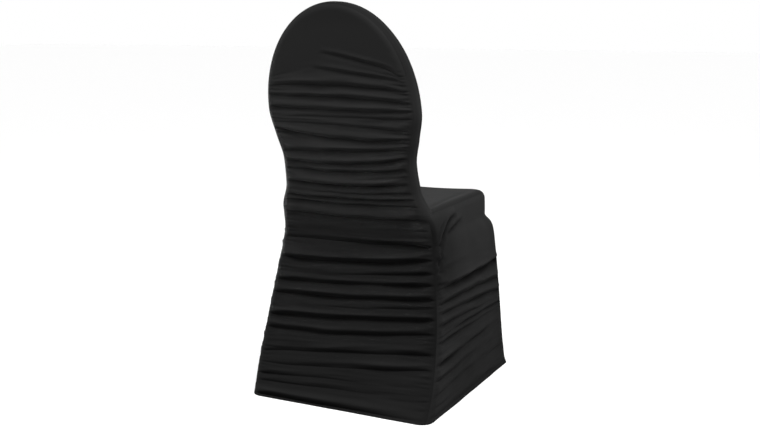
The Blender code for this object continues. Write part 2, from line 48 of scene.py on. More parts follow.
# The form under the cloth, as the part gives it: a domed slab leaning back over a square seat
form = {
    "forward": 0.002,                # shift that centres the footprint
    "backDepth": 0.0535,
    "backEdge": 0.020,
    "domeFoot": 0.700,
    "domeHalf": 0.192,
    "domeRise": 0.243,
    "domeCorner": math.radians(42),
    "insideSwell": 0.006,
    "seatEdge": 0.020,
    "seatSeam": 0.465,
    "seatDip": 0.006,
    "seatStart": 0.10,
    "seatTurned": 0.30,
}
seamTurn = math.radians(45)          # the seams run half way round each rounded edge
quarter = math.pi / 2
seatWallTop = form["seatSeam"] - form["seatEdge"] * math.sin(seamTurn)

# Back by height: half its width, how far back it stands, its corners' rounding
backSection = namedtuple("backSection", "height half rear corner")
backSections = [backSection(*row) for row in (
    (0.000, 0.2400, 0.2550, 0.030),
    (0.060, 0.2420, 0.2300, 0.027),
    (0.200, 0.2330, 0.1860, 0.025),
    (0.300, 0.2200, 0.1650, 0.025),
    (0.400, 0.2050, 0.1510, 0.024),
    (0.440, 0.2010, 0.1600, 0.023),
    (0.465, 0.1940, 0.1735, 0.022),
    (0.520, 0.1725, 0.1905, 0.020),
    (0.580, 0.1685, 0.2060, 0.020),
    (0.640, 0.1810, 0.2195, 0.020),
    (0.700, 0.1920, 0.2315, 0.020),
    (0.780, 0.1920, 0.2445, 0.020),
    (0.960, 0.1920, 0.2715, 0.020),
)]

# Front of the skirt and seat by height, up to where the seat's edge turns over
frontSection = namedtuple("frontSection", "height half front corner")
frontSections = [frontSection(*row) for row in (
    (0.000, 0.2385, -0.2700, 0.012),
    (0.020, 0.2335, -0.2675, 0.014),
    (0.200, 0.2185, -0.2655, 0.022),
    (0.350, 0.2065, -0.2580, 0.027),
    (0.375, 0.2040, -0.2555, 0.032),
    (0.390, 0.2005, -0.2520, 0.040),
    (0.400, 0.1960, -0.2475, 0.050),
    (0.408, 0.1935, -0.2450, 0.058),
    (0.422, 0.1940, -0.2450, 0.060),
    (0.451, 0.1935, -0.2440, 0.060),
)]


def smoothTable(table, column, levels):
    # A table's column at every level, smooth and without overshoot
    heights = [row.height for row in table]
    values = [getattr(row, column) for row in table]
    rise = [(values[i + 1] - values[i]) / (heights[i + 1] - heights[i]) for i in range(len(table) - 1)]
    tangent = [rise[0]]
    for before, after in zip(rise, rise[1:]):
        tangent.append(2 * before * after / (before + after) if before * after > 0 else 0.0)
    tangent.append(rise[-1])
    result = []
    for level in levels:
        k = min(max(sum(height < level for height in heights) - 1, 0), len(table) - 2)
        span = heights[k + 1] - heights[k]
        t = (level - heights[k]) / span
        result.append(values[k] * (1 + 2 * t) * (1 - t) ** 2 + values[k + 1] * t * t * (3 - 2 * t)
                      + span * tangent[k] * t * (1 - t) ** 2 + span * tangent[k + 1] * t * t * (t - 1))
    return np.array(result)


def everyMillimetre(top):
    return np.linspace(0.0, top, round(top * 1000) + 1)


backLevels = everyMillimetre(backSections[-1].height)
frontLevels = everyMillimetre(frontSections[-1].height)
backShape = {name: smoothTable(backSections, name, backLevels) for name in ("half", "rear", "corner")}
frontShape = {name: smoothTable(frontSections, name, frontLevels) for name in ("half", "front", "corner")}


def backAt(column, height):
    return float(np.interp(height, backLevels, backShape[column]))


def frontAt(column, height):
    return float(np.interp(height, frontLevels, frontShape[column]))


def ease(t):
    t = min(max(t, 0.0), 1.0)
    return t * t * (3 - 2 * t)


def domeInset(angle):
    # The flat face's edge at an angle round the dome, and the outline's normal there
    across = math.cos(angle) / form["domeHalf"]
    up = math.sin(angle) / form["domeRise"]
    length = math.hypot(across, up)
    normal = (across / length, up / length)
    x = form["domeHalf"] * math.cos(angle) - form["backEdge"] * normal[0]
    z = form["domeFoot"] + form["domeRise"] * math.sin(angle) - form["backEdge"] * normal[1]
    return x, z, normal


def faceEdge(height):
    # Half width of the flat face at a height, and the outline's normal there
    if height <= form["domeFoot"]:
        return backAt("half", height) - backAt("corner", height), (1.0, 0.0)
    low, high = 0.0, quarter
    halvings = 30                    # finds the angle to well under a micrometre
    for _ in range(halvings):
        angle = (low + high) / 2
        if domeInset(angle)[1] < height:
            low = angle
        else:
            high = angle
    x, _, normal = domeInset(low)
    return x, normal


cornerX, cornerZ, _ = domeInset(form["domeCorner"])
topZ = domeInset(quarter)[1]

# Gathered folds across the back, hem to dome, in millimetres: the valley's height at the sitter's
# left seam, in the middle and at the right seam, and its depth there
fold = namedtuple("fold", "left middle right deepLeft deepMiddle deepRight")
backFolds = [fold(*(length / 1000 for length in row)) for row in (
    (4.5, 6.2, 8, 9, 7, 0),
    (35, 44, 52, 2.6, 1.4, 0.4),
    (52, 64, 74, 4, 0.5, 0),
    (78, 90.5, 115, 1, 3, 4.5),
    (105, 127, 147, 3, 4, 4),
    (160, 168, 192, 5, 4.6, 5),
    (192, 204, 223, 8, 8, 8.5),
    (221, 229, 248, 0, 0.4, 3),
    (245, 251, 269, 7.5, 9, 8),
    (276, 284, 301, 5.5, 5.5, 6),
    (303, 308, 327, 1, 1.4, 4),
    (332, 335, 356, 7, 9, 8.5),
    (381, 383, 388, 2.4, 4.2, 11),
    (446, 441, 449, 4, 5, 4.5),
    (479, 476, 485, 4.5, 4.5, 4.5),
    (493, 488.5, 500, 4.5, 6, 5.5),
    (509, 504, 515, 0.5, 1.5, 3.5),
    (528, 521, 533, 7.5, 9.5, 8),
    (563, 555, 570, 3.5, 4.5, 4),
    (577, 574, 594, 3.5, 4, 4.5),
    (601, 605, 615, 3.5, 4, 3.5),
    (652, 633, 638, 4.5, 4.5, 4),
    (670, 666, 658, 1, 1.8, 3.2),
    (686, 684, 687, 1, 2, 3.5),
    (703, 699.5, 703, 4, 4, 3),
    (729, 730, 722.5, 3.5, 4.5, 3.5),
    (754, 756.5, 746, 3.5, 4, 4),
    (776, 793, 765, 0, 0, 0),
    (797, 826, 782, 0, 0, 0),
)]

# Short folds of the back that don't cross it: place across, from 1 at the sitter's left seam to -1,
# and height at each end, depth, rise of the middle above the straight line and relative breadth.
# Heights, depth and rise are in millimetres.
shortFold = namedtuple("shortFold", "start startHeight end endHeight deep bow wide", defaults=(0, 1))
backShortFolds = [shortFold(*row) for row in (
    (0.22, 830, -0.97, 787, 4, 4.5, 1.45),
    (0.34, 796, -0.97, 769, 4.2, 0, 1.45),
    (-0.55, 814, -0.96, 796, 1.4, 0, 0.9),
    (-0.70, 788, -0.97, 780, 1.6, 0, 0.9),
    (1.05, 742.5, 0.45, 744.5, 1.4),
    (1.05, 735, 0.60, 736.5, 1),
    (-0.70, 763, -1.05, 760, 1.2),
    (-0.55, 740, -1.05, 738, 1.2),
    (-0.75, 719, -1.05, 718.5, 1.4),
    (0.30, 696, -0.30, 693, 0.8),
    (1.05, 644, 0.55, 640, 2),
    (1.05, 630, 0.70, 627, 1.6),
    (-0.55, 652, -1.05, 650, 1.4),
    (-0.60, 629, -1.05, 631, 1.4),
    (0.90, 590, 0.20, 588, 1.2),
    (1.05, 558, 0.45, 551, 2.2),
    (-0.50, 559, -1.05, 564, 1.8),
    (-0.60, 547, -1.05, 552, 1.4),
    (1.05, 544, 0.65, 540, 1.2),
    (0.60, 466, -0.40, 463, 0.8),
    (1.05, 437, 0.55, 433, 1.6),
    (1.05, 423, 0.70, 421, 1.2),
    (-0.20, 418, -1.05, 426, 1),
    (-0.10, 377, -1.05, 379, 2),
    (1.05, 370, 0.50, 366, 1.4),
    (0.95, 323, 0.40, 324, 1.6),
    (-0.45, 342, -1.05, 344, 1.8),
    (0.80, 296, 0.10, 298, 1),
    (-0.35, 312, -1.05, 316, 1.4),
    (1.05, 266, 0.50, 264, 1.6),
    (-0.60, 282, -1.05, 286, 1.6),
    (1.05, 236, 0.60, 237, 1.6),
    (1.05, 210, 0.65, 213, 1.2),
    (-0.70, 239, -1.05, 240, 1.4),
    (1.05, 180, 0.55, 184, 1.2),
    (0.10, 149, -0.80, 165, 1.2),
    (1.05, 138, 0.60, 144, 1),
    (-0.65, 129, -1.05, 132, 1.6),
    (-0.75, 95, -1.05, 98, 1.2),
)]

# Folds along a side in millimetres, hem to seat: height at the rear seam, half way and at the front seam
sideFolds = [fold(*(length / 1000 for length in row)) for row in (
    (11, 11, 11, 1, 2, 1.5),
    (54, 58, 56, 2, 1, 0),
    (90, 96, 98, 3.5, 1, 0),
    (127, 129, 127, 4.5, 2.5, 0.5),
    (168, 164, 156, 4, 2, 1),
    (183, 177, 168, 0.5, 3.5, 2.5),
    (212, 200, 188, 4.5, 2, 1),
    (237, 224, 206, 3, 4.5, 2.5),
    (253, 245, 232, 3.5, 4.5, 3.5),
    (288, 280.5, 281, 2.5, 8.5, 6),
    (335, 332, 327, 3, 0.6, 0),
)]

# Short folds of a side in the same way, from 1 at the rear seam to -1 at the front one
sideShortFolds = [shortFold(*row) for row in (
    (0.97, 385, 0.18, 440, 10.5, 12, 2.0),
    (0.66, 402, -0.02, 425, 6.8, 1, 1.5),
    (1.00, 348, 0.88, 400, 6, 0, 2.2),
    (1.00, 388, 0.84, 387, 4),
    (1.00, 356, 0.80, 353, 4.8),
    (1.00, 327, 0.84, 324, 3.6),
    (1.00, 301, 0.80, 299, 4.2),
    (0.90, 424, 0.38, 450, 3.6, 0, 1.1),
    (1.00, 270, 0.10, 273, 1.6),
    (0.70, 261, -0.60, 256, 1.4),
    (1.00, 197, 0.35, 190, 1.4),
    (0.60, 211, -0.50, 204, 1.4),
    (1.00, 148, 0.30, 149, 1.6),
    (0.50, 142, -0.50, 140, 1.2),
    (1.00, 109, 0.40, 113, 1.6),
    (1.00, 72, 0.50, 76, 1.2),
    (1.00, 30, 0.20, 31, 0.8),
    (0.20, 24, -0.80, 26, 0.8),
)]


def quadratic(left, middle, right, share):
    # share runs from 1 at left to -1 at right
    return middle + (left - right) / 2 * share + ((left + right) / 2 - middle) * share * share


def valley(distance, reach, curve):
    # A crease's section: 1 at its bottom, falling away to 0 at its reach
    return np.clip(1 - np.abs(distance) / reach, 0.0, 1.0) ** curve


class Panel:
    # Outer face of one cut length of cloth, with what its folds need to know at each point
    def __init__(self):
        self.points = []
        self.faces = []
        self.weave = []
        self.marks = []
        self.facing = None               # a point's index and the way it looks, set once known

    def add(self, point, weave, place=0.0, share=0.0, inset=1.0, keep=1.0):
        # place counts the folds from the hem, inset is how far the seam is, keep how much folds show
        self.points.append((point[0], point[1] + form["forward"], point[2]))
        self.weave.append(weave)
        self.marks.append((place, share, inset, keep))
        return len(self.points) - 1

    def strips(self, lines):
        for low, high in zip(lines, lines[1:]):
            for i in range(len(low) - 1):
                self.faces.append((low[i], low[i + 1], high[i + 1], high[i]))


def foldRows(lines, look):
    # Rows from the hem to the top line, closer together at the valleys, and their places
    rows = []
    for k, (low, high) in enumerate(zip(lines, lines[1:])):
        gap = max(top - foot for foot, top in zip(low, high))
        count = max(look["fewestRows"], round(gap / look["rowStep"]))
        for i in range(count):
            t = i / count
            t -= look["bunch"] * math.sin(2 * math.pi * t) / (2 * math.pi)
            rows.append((k + t, *[foot + (top - foot) * t for foot, top in zip(low, high)]))
    rows.append((len(lines) - 1.0, *lines[-1]))
    return rows


# The cloth and its seams, the same for every panel
clothLook = {
    "thickness": 0.0011, "seamGap": 0.0003, "seamTurnIn": 0.0020, "hemTop": 0.002, "foldShadeDepth": 0.014,
}

# How folds, gathers and streaks are formed on every gathered panel
ruchedLook = {
    **clothLook,
    "fewestRows": 5, "bunch": 0.45,
    "wobbleStride": 5.7, "fineShift": 3.1, "slowShift": 9.7,      # keep the noises apart
    "uneven": 0.75, "unevenStride": 5.3, "unevenSpots": 81, "weakest": 0.15, "strongest": 1.8,
    "steepest": 0.42, "leastGap": 0.002, "widest": 0.85,       # held to the gap between two folds
    "curve": 1.35, "slitCurve": 1.0, "hang": 0.45, "hangAt": 0.0120, "hangShare": 0.4, "hangCurve": 1.2,
    "fullFold": 0.0080, "puffCurve": 0.8, "puffGap": 0.03, "leastPuff": 0.2,
    "shortCurve": 1.5, "freeFade": 0.6, "sewnFade": 0.8, "sewnShare": 0.98, "overrun": 0.2,
    "gatherSlant": 0.06, "gatherTurn": 0.06, "gatherCurve": 1.3, "gatherFade": 0.8,
    "streakHalf": (0.15, 0.60), "streakSlant": 0.006, "streakCurve": 1.4,
    "slowAcross": 1.3, "slowAlong": 0.9,
}


def wobble(place, share, look, count):
    # How far a fold's line wanders from its smooth run; the hem and the top line stay where they are
    low = math.floor(place)
    drift = []
    for k in (low, low + 1):
        free = 0 < k < count
        spot = Vector((share * look["wobbleRhythm"], k * look["wobbleStride"], look["seed"]))
        drift.append(look["wobble"] * noise.noise(spot) * 2 if free else 0.0)
    return drift[0] + (drift[1] - drift[0]) * (place - low)


def followRun(runs, lines, level, share):
    # The line that runs with the folds through a height, given at one place across
    heights = [quadratic(*line, share) for line in lines]
    spot = float(np.interp(level, heights, np.arange(len(heights))))
    base = min(int(spot), len(runs) - 2)
    return runs[base] + (runs[base + 1] - runs[base]) * (spot - base)


def shortFade(short, along, look):
    # A short fold's strength along it: it dies away at an end that is not in a seam
    on = np.clip(along, 0, 1)
    arch = np.sin(np.pi * on) ** look["freeFade"]
    low, high = 0.0, 1.0
    if abs(short.start) > look["sewnShare"]:
        arch = np.cos(quarter * on) ** look["sewnFade"]
        low -= look["overrun"]
    if abs(short.end) > look["sewnShare"]:
        arch = np.sin(quarter * on) ** look["sewnFade"]
        high += look["overrun"]
    return np.where((along > low) & (along < high), arch, 0.0)


def smoothly(t):
    # The same as ease, for a whole row of values between 0 and 1
    return t * t * (3 - 2 * t)


def unevenDepths(depths, across, inset, look, chance):
    # Long folds are stronger in some places than in others, and die away towards a gathered seam
    deeps = np.array([np.maximum(quadratic(*deep, across), 0.0) for deep in depths])
    spots = np.linspace(-1, 1, look["unevenSpots"])
    for index, deep in enumerate(deeps):
        row = index * look["unevenStride"]
        strength = [noise.noise(Vector((s * look["unevenRhythm"], row, look["seed"]))) for s in spots]
        deep *= np.clip(1 + look["uneven"] * np.interp(across, spots, strength),
                        look["weakest"], look["strongest"])
        for side, _ in look["gatheredSides"]:
            end, length = chance.uniform(*look["taperEnd"]), chance.uniform(*look["taperLength"])
            near = np.clip(1 - inset / length, 0, 1) * (across * side > 0)
            deep *= 1 - (1 - end) * smoothly(near)
    return deeps


def longSink(place, across, inset, runs, deeps, look):
    # Each long fold is a valley with a slit at its bottom, cloth that hangs over it, and a puff between two
    k = np.clip(np.floor(place).astype(int), 0, len(runs) - 2)
    t = place - k
    columns = np.arange(len(place))
    gap = np.maximum(runs[k + 1, columns] - runs[k, columns], look["leastGap"])
    pinch = np.ones(len(place))
    for side, _ in look["gatheredSides"]:
        pinch -= look["pinch"] * np.clip(1 - inset / look["pinchLength"], 0, 1) * (across * side > 0)
    sink = np.zeros(len(place))
    valleys = ((k, t * gap, look["overReach"]), (k + 1, (1 - t) * gap, look["underReach"]))
    for index, distance, reach in valleys:
        deep = np.minimum(deeps[index, columns], look["steepest"] * gap)
        width = np.minimum(reach * pinch, gap * look["widest"])
        sink += look["deepen"] * deep * valley(distance, width, look["curve"])
        sink += deep * look["slit"] * valley(distance, look["slitWidth"], look["slitCurve"])
        if reach == look["overReach"]:
            hang = np.minimum(look["hangAt"], gap * look["hangShare"])
            sink -= look["hang"] * deep * valley(distance - hang, hang, look["hangCurve"])
    mean = deeps[k, columns] * (1 - t) + deeps[k + 1, columns] * t
    full = np.clip(2 * mean / look["fullFold"], 0, 1) * np.clip(gap / look["puffGap"], look["leastPuff"], 1)
    return sink - look["puff"] * full * np.sin(np.pi * np.clip(t, 0, 1)) ** look["puffCurve"]


def shortSink(height, across, shorts, look):
    # Each short fold is a valley with a ridge above it
    sink = np.zeros(len(height))
    for short in shorts:
        along = (across - short.start) / (short.end - short.start)
        line = short.startHeight + (short.endHeight - short.startHeight) * along
        line = (line + short.bow * 4 * along * (1 - along)) / 1000
        reach = look["shortReach"] * short.wide
        deep = short.deep / 1000 * shortFade(short, along, look)
        sink += deep * valley(height - line, reach, look["shortCurve"])
        sink -= look["shortRidge"] * deep * valley(height - line - reach, reach, look["shortCurve"])
    return sink


def foldSink(panel, lines, depths, shorts, look):
    # How far each point sinks: long and short folds, streaks, gathers at the seams and unevenness
    place, share, inset, keep = np.array(panel.marks).T
    height = np.array(panel.points)[:, 2]
    across = np.clip(share, -1.0, 1.0)
    runs = np.array([quadratic(*line, across) for line in lines])
    chance = random.Random(look["seed"])
    deeps = unevenDepths(depths, across, inset, look, chance)
    sink = longSink(place, across, inset, runs, deeps, look) + shortSink(height, across, shorts, look)

    # Gathers: closely spaced puckers where the cloth is drawn into its seams
    light = np.zeros(len(place))
    slant = look["gatherSlant"]
    for side, highest in look["gatheredSides"]:
        level = look["gatherFoot"]
        while level < highest:
            level += chance.uniform(*look["gatherPitch"])
            line = followRun(runs, lines, level, side)
            line = line + chance.uniform(-slant, slant) * np.minimum(inset, look["gatherTurn"])
            length = chance.uniform(*look["gatherLength"])
            deep = chance.uniform(*look["gatherDeep"])
            fade = np.clip(1 - inset / length, 0, 1) ** look["gatherFade"] * (across * side > 0)
            light += deep * fade * valley(height - line, look["gatherReach"], look["gatherCurve"])

    # Streaks: slight creases of middling length that run with the folds
    slant = look["streakSlant"]
    for _ in range(look["streaks"]):
        middle = chance.uniform(-1.0, 1.0)
        line = followRun(runs, lines, chance.uniform(*look["streakSpan"]), middle)
        line = line + chance.uniform(-slant, slant) * (across - middle)
        fade = np.clip(1 - ((across - middle) / chance.uniform(*look["streakHalf"])) ** 2, 0, 1)
        deep = chance.uniform(*look["streakDeep"])
        light += deep * fade * valley(height - line, look["streakReach"], look["streakCurve"])

    # Fine unevenness drawn out along the folds, and a slower swell
    for name in ("fine", "slow"):
        seed = look["seed"] + look[name + "Shift"]
        rate, rise = look[name + "Across"], look[name + "Along"]
        swell = [noise.noise(Vector((s * rate, p * rise, seed))) for s, p in zip(share, place)]
        light += look[name] * np.array(swell)
    level = height + look["calmTilt"] * across
    calm = np.clip((look["calmFull"] - level) / (look["calmFull"] - look["calmStart"]), 0, 1)
    return (sink + light * smoothly(calm)) * keep


def cornerPaintedShade(panel, look):
    # Painted shade and painted light by height towards an edge, taken from the tone: positive amounts darken,
    # negative ones lighten
    paintedLightAndShade = []
    for (_, _, z), (_, share, _, _) in zip(panel.points, panel.marks):
        amount = 0.0
        for side, start, heights, values in look["corners"]:
            amount += ease((side * share - start) / (1 - start)) * float(np.interp(z, heights, values))
        paintedLightAndShade.append(amount)
    return paintedLightAndShade


def sewCloth(panel, sink, name, look, paintedLightAndShade):
    # Make the panel's mesh: sink its folds, store its tone with painted light and shade, turn its sewn edges
    # in and give it thickness
    sheet = bmesh.new()
    weave = sheet.loops.layers.uv.new("weave")
    stretch = sheet.verts.layers.float.new("stretch")
    verts = [sheet.verts.new(point) for point in panel.points]
    for corners in panel.faces:
        sheet.faces.new([verts[i] for i in corners])
    bmesh.ops.recalc_face_normals(sheet, faces=sheet.faces[:])
    sheet.normal_update()
    index, direction = panel.facing
    if verts[index].normal.dot(Vector(direction)) < 0:
        bmesh.ops.reverse_faces(sheet, faces=sheet.faces[:])
        sheet.normal_update()
    base = [vert.normal.copy() for vert in verts]
    for vert, normal, depth in zip(verts, base, sink):
        vert.co -= normal * float(depth)
    for i, vert in enumerate(verts):
        # Tone partly from the cloth's stretch, partly painted light and shade: set by height to how the light
        # falls, painted crease shade in the valleys and painted highlight on the puffs, less the corners'
        # painted shade
        toneAndShade = np.interp(vert.co.z, *zip(*look["paintedLightAndTightness"])) - float(sink[i]) / look["foldShadeDepth"]
        vert[stretch] = min(max(float(toneAndShade) - paintedLightAndShade[i], 0.0), 1.0)
        for loop in vert.link_loops:
            loop[weave].uv = panel.weave[i]

    # Sewn edges are drawn back a little and turned in; the hem stays open
    sheet.verts.index_update()
    sewn = [e for e in sheet.edges if e.is_boundary and max(v.co.z for v in e.verts) > look["hemTop"]]
    for edge in sewn:
        edge.smooth = False
    rim = {v for e in sewn for v in e.verts}
    for vert in rim:
        inner = [e.other_vert(vert) for e in vert.link_edges if not e.is_boundary]
        if inner:
            toward = sum((other.co - vert.co for other in inner), Vector()).normalized()
            vert.co += toward * look["seamGap"] / 2
    flange = bmesh.ops.extrude_edge_only(sheet, edges=sewn)
    for vert in [g for g in flange["geom"] if isinstance(g, bmesh.types.BMVert)]:
        near = min((e.other_vert(vert) for e in vert.link_edges if e.other_vert(vert) in rim),
                   key=lambda other: (other.co - vert.co).length)
        vert.co -= base[near.index] * look["seamTurnIn"]
    mesh = bpy.data.meshes.new(name)
    sheet.to_mesh(mesh)
    sheet.free()
    piece = bpy.data.objects.new(name, mesh)
    bpy.context.scene.collection.objects.link(piece)
    bpy.context.view_layer.objects.active = piece
    thick = piece.modifiers.new("thickness", "SOLIDIFY")
    thick.thickness = look["thickness"]
    thick.offset = -1.0
    bpy.ops.object.modifier_apply(modifier=thick.name)
    for vert in piece.data.vertices:
        vert.co.z = max(vert.co.z, 0.0)
    for polygon in piece.data.polygons:
        polygon.use_smooth = True
    print(name, "sewn:", len(piece.data.polygons) * 2, "triangles")
    return piece


def faceGrid(panel, rows, cells, place, count, look=None):
    # The flat face's grid, row by row, and its border: up one side, over the top, down the other
    turns = np.linspace(form["domeCorner"], math.pi - form["domeCorner"], cells + 1)
    top = [domeInset(turn) for turn in turns]
    shares = [edge[0] / cornerX for edge in top]
    drops = [(topZ - edge[1]) / (topZ - cornerZ) for edge in top]
    lines = []
    border = []
    downward = []
    for spot, left, middle, right in rows:
        edgeLeft, normalLeft = faceEdge(left)
        edgeRight, normalRight = faceEdge(right)
        line = []
        for share, drop in zip(shares, drops):
            z = middle + (left - right) / 2 * share + ((left + right) / 2 - middle) * drop
            if look:
                z += wobble(spot, share, look, count)
            x = share * (edgeLeft * (1 + share) + edgeRight * (1 - share)) / 2
            inset = (1 - abs(share)) * (edgeLeft + edgeRight) / 2 + backAt("corner", z) * seamTurn
            line.append(panel.add(place(x, z), (x, z), spot, share, inset))
        lines.append(line)
        border.append((line[0], panel.points[line[0]][2], normalLeft, 1, spot))
        downward.append((line[-1], panel.points[line[-1]][2], normalRight, -1, spot))
    border.pop()
    downward.pop()
    spot = rows[-1][0]
    for (x, z, normal), index in zip(top, lines[-1]):
        border.append((index, z, (abs(normal[0]), normal[1]), 1 if x >= 0 else -1, spot))
    panel.strips(lines)
    return lines, border + downward[::-1]


def rearStation(turn):
    # A place round the rear edge's rounding
    return turn, lambda corner: corner * (1 - math.cos(turn)), lambda corner: corner * turn


def insideStation(turn):
    # A place round the inside edge's rounding
    depth = form["backDepth"]
    return (turn, lambda corner: depth - corner * (1 - math.cos(turn)), lambda corner: corner * turn)


def borderRings(panel, border, stations, foldsEnd=0.0):
    # Rings round the border, each drawn out and back as its station says
    rings = [[entry[0] for entry in border]]
    for turn, back, travel in stations:
        ring = []
        for index, z, normal, side, spot in border:
            corner = backAt("corner", min(z, form["domeFoot"]))
            baseX = abs(panel.points[index][0]) if z > form["domeFoot"] else faceEdge(z)[0]
            out = corner * math.sin(turn)
            height = z + out * normal[1]
            x = side * (baseX + out * normal[0])
            arc = travel(corner)
            weave = (side * (baseX + arc * normal[0]), z + arc * normal[1])
            keep = 1 - ease(turn / foldsEnd) if foldsEnd else 0.0
            inset = max(corner * (seamTurn - turn), 0.0)
            point = (x, backAt("rear", height) - back(corner), height)
            ring.append(panel.add(point, weave, spot, side, inset, keep))
        rings.append(ring)
    panel.strips(rings)
    return rings


def clothLines(folds, top):
    # The folds' lines and depths with the hem below them and the top edge above
    lines = [(0.0, 0.0, 0.0)] + [row[:3] for row in folds] + [top]
    depths = [(0.0, 0.0, 0.0)] + [row[3:] for row in folds] + [(0.0, 0.0, 0.0)]
    return lines, depths


# Back panel: one length gathered into its two side seams, from the hem to the top of the dome
backLook = {
    **ruchedLook,
    # Tone by height, partly the cloth's stretch and partly painted light and shade: near black low down,
    # lightest at the waist, less at the top of the dome
    "paintedLightAndTightness": ((0.0, 0.06), (0.04, 0.0), (0.37, 0.0), (0.41, 0.05), (0.445, 1.0), (0.50, 1.0),
                  (0.56, 0.80), (0.62, 0.92), (0.70, 0.92), (0.76, 0.78), (0.80, 0.70), (0.88, 0.70),
                  (0.94, 0.50)),
    # Painted shade and painted light towards the sitter's right edge: a little darker at mid height, lighter
    # at the waist, and lighter near the hem over most of the width
    "corners": ((-1, 0.70, (0.15, 0.30, 0.37, 0.41, 0.44, 0.47), (0.0, 0.15, 0.0, -0.20, -0.60, 0.0)),
                (-1, -0.40, (0.0, 0.12, 0.16), (-0.26, -0.24, 0.0))),
    "rowStep": 0.0019, "cells": 60, "edgeCells": 6, "foldsEnd": math.radians(44),
    "wobble": 0.0013, "wobbleRhythm": 2.1, "seed": 4,
    "overReach": 0.0095, "underReach": 0.0230, "deepen": 1.25, "pinch": 0.60, "pinchLength": 0.050,
    "unevenRhythm": 1.7, "taperEnd": (0.10, 0.55), "taperLength": (0.035, 0.075),
    "slit": 0.20, "slitWidth": 0.0032, "puff": 0.0016, "shortReach": 0.0062, "shortRidge": 0.40,
    "gatheredSides": ((1, 0.758), (-1, 0.790)), "gatherFoot": 0.020, "gatherPitch": (0.0055, 0.0120),
    "gatherLength": (0.020, 0.070), "gatherDeep": (0.0008, 0.0026), "gatherReach": 0.0040,
    "streaks": 110, "streakSpan": (0.02, 0.75), "streakDeep": (0.0003, 0.0013), "streakReach": 0.0046,
    "fine": 0.0011, "fineAcross": 2.6, "fineAlong": 4.2, "slow": 0.0012,
    "calmTilt": 0.020, "calmStart": 0.765, "calmFull": 0.835,
}


def backPanel(look):
    panel = Panel()
    lines, depths = clothLines(backFolds, (cornerZ, topZ, cornerZ))
    rows = foldRows(lines, look)

    def place(x, z):
        return x, backAt("rear", z), z

    grid, border = faceGrid(panel, rows, look["cells"], place, len(lines) - 1, look)
    stations = [rearStation(seamTurn * (i + 1) / look["edgeCells"]) for i in range(look["edgeCells"])]
    borderRings(panel, border, stations, look["foldsEnd"])
    panel.facing = (grid[len(grid) // 2][look["cells"] // 2], (0, 1, 0))
    sink = foldSink(panel, lines, depths, backShortFolds, look)
    return sewCloth(panel, sink, "backCloth", look, cornerPaintedShade(panel, look))


# Side panels: ruched lengths from the rear corner seam to the front corner seam
sideLook = {
    **ruchedLook,
    # Tone by height, partly the cloth's stretch and partly painted light and shade: lighter towards the seat
    "paintedLightAndTightness": ((0.0, 0.16), (0.12, 0.28), (0.20, 0.38), (0.27, 0.50), (0.36, 0.84), (0.42, 1.0),
                  (0.47, 1.0)),
    # Painted shade and painted light: much darker high up by the rear seam, lighter near the hem by the rear
    # seam, a little darker by the front seam
    "corners": ((1, 0.0, (0.25, 0.30, 0.36, 0.42, 0.45, 0.465), (0.0, 0.65, 1.05, 1.05, 0.55, 0.0)),
                (1, 0.30, (0.0, 0.12, 0.20), (-0.46, -0.42, -0.10)),
                (-1, 0.55, (0.0, 0.40, 0.45), (0.22, 0.22, 0.0))),
    "rowStep": 0.0024, "rearCells": 6, "sideCells": 46, "frontCells": 7, "topRows": 26,
    "foldsEnd": math.radians(46), "frontFoldsEnd": math.radians(27),
    "wobble": 0.0014, "wobbleRhythm": 2.6, "seed": 21,
    "overReach": 0.0125, "underReach": 0.0210, "deepen": 1.40, "pinch": 0.5, "pinchLength": 0.035,
    "unevenRhythm": 1.9, "taperEnd": (0.35, 0.80), "taperLength": (0.02, 0.05),
    "slit": 0.15, "slitWidth": 0.0034, "puff": 0.0014, "shortReach": 0.0070, "shortRidge": 0.45,
    "gatheredSides": ((1, 0.430),), "gatherFoot": 0.015, "gatherPitch": (0.006, 0.013),
    "gatherLength": (0.022, 0.080), "gatherDeep": (0.0010, 0.0030), "gatherReach": 0.0042,
    "streaks": 45, "streakSpan": (0.02, 0.30), "streakDeep": (0.0004, 0.0013), "streakReach": 0.0050,
    "fine": 0.0010, "fineAcross": 3.2, "fineAlong": 3.6, "slow": 0.0014,
    "calmTilt": 0.0, "calmStart": 0.385, "calmFull": 0.445,
    "swayRhythm": 1.7, "swayDeepRhythm": 2.9, "swayDeep": 30,      # how the other side's folds differ
    "rearLength": 0.02, "sideLength": 0.38,
}
seatHalf = frontAt("half", seatWallTop)
seatFront = frontAt("front", seatWallTop)
seatCorner = frontAt("corner", seatWallTop)
seamInset = form["seatEdge"] * (1 - math.cos(seamTurn))
bandHalf = backAt("half", form["seatSeam"])
bandCorner = backAt("corner", form["seatSeam"])
seatBackY = backAt("rear", form["seatSeam"]) - form["backDepth"] + bandCorner
sideFrontY = seatFront + seatCorner


def seamTurned(share):
    # The seam's tilt along the top of a side: upright under the backrest, turned over at the seat
    return seamTurn * ease((share - form["seatStart"]) / (form["seatTurned"] - form["seatStart"]))


def cornerTilt(turn):
    # The seam's tilt as it runs round the seat's front corner and down
    return seamTurn * math.sqrt(max(0.0, 1 - (turn / seamTurn) ** 2))


